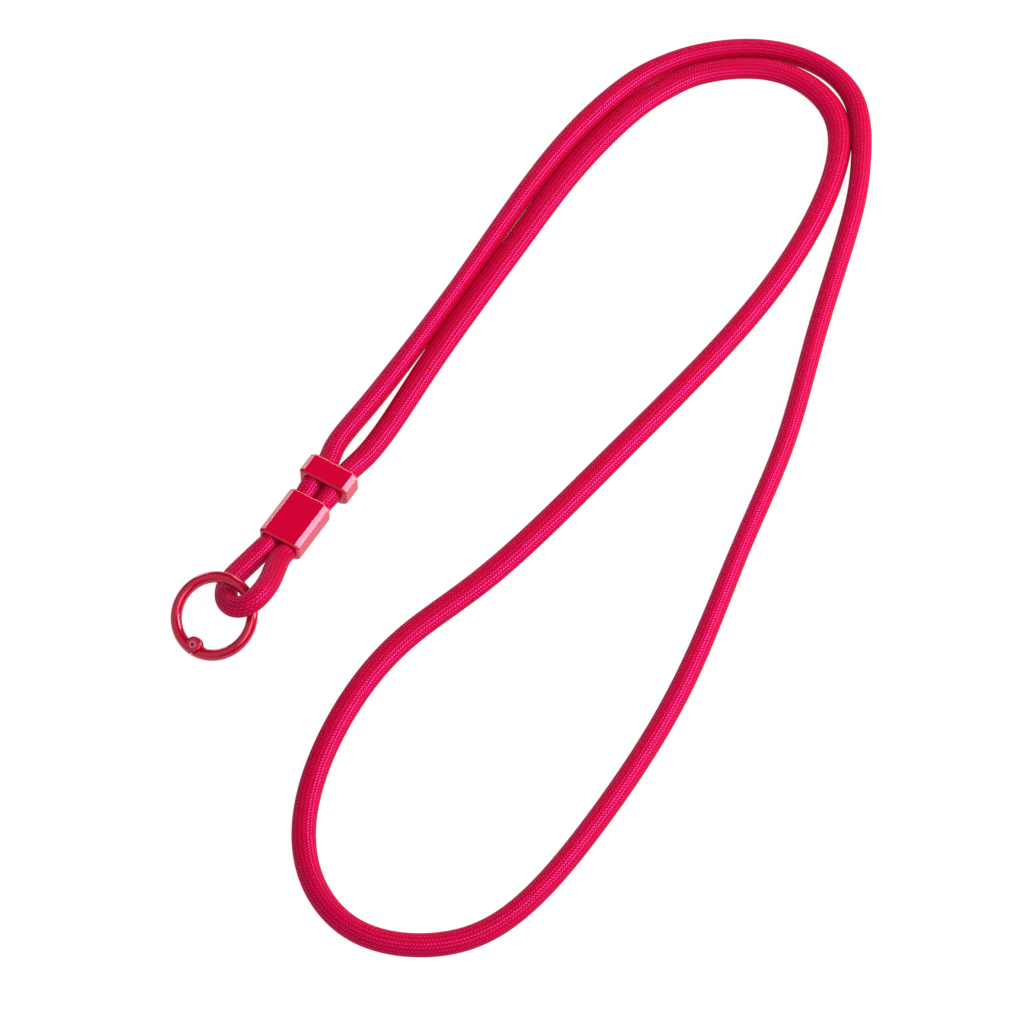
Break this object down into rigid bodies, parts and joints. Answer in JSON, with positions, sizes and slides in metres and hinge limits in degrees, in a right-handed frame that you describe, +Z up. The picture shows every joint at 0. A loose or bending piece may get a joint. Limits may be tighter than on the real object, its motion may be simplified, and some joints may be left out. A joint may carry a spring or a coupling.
{
  "type": "phone crossbody strap",
  "caption": "Long braided rope strap with a clamp block, a sliding block and a spring-gate ring for a phone case.",
  "frame": {"origin": "middle of the clamp block's underside, on the surface that the strap lies on", "axes": "+Z is up, +Y runs along the two strands from the ring through the clamp to the slider, +X is across the blocks towards the free loop"},
  "size_m": [0.186, 0.4415, 0.0234],
  "materials": {
    "rope": "round braided polyester, satin sheen",
    "block": "glossy moulded plastic",
    "ring": "glossy lacquer over cast metal",
    "pin": "glossy lacquer over a steel rivet"
  },
  "bodies": {
    "strap": {"strap_cord": "rope", "clamp_block": "block", "ring_body": "ring", "gate_pin": "pin"},
    "gate": {"ring_gate": "ring"},
    "slider": {"slider_block": "block"}
  },
  "joints": [
    {"name": "gate_hinge", "type": "hinge", "parent": "strap", "child": "gate", "pos_m": [-0.00339, -0.06384, 0.00289], "axis": [0, -0.4384, 0.8988], "range_deg": [0, 30], "stiffness_Nm_per_rad": 0.02},
    {"name": "slider_slide", "type": "slide", "parent": "strap", "child": "slider", "axis": [0, 1, 0], "range_m": [-0.0073, 0]}
  ]
}
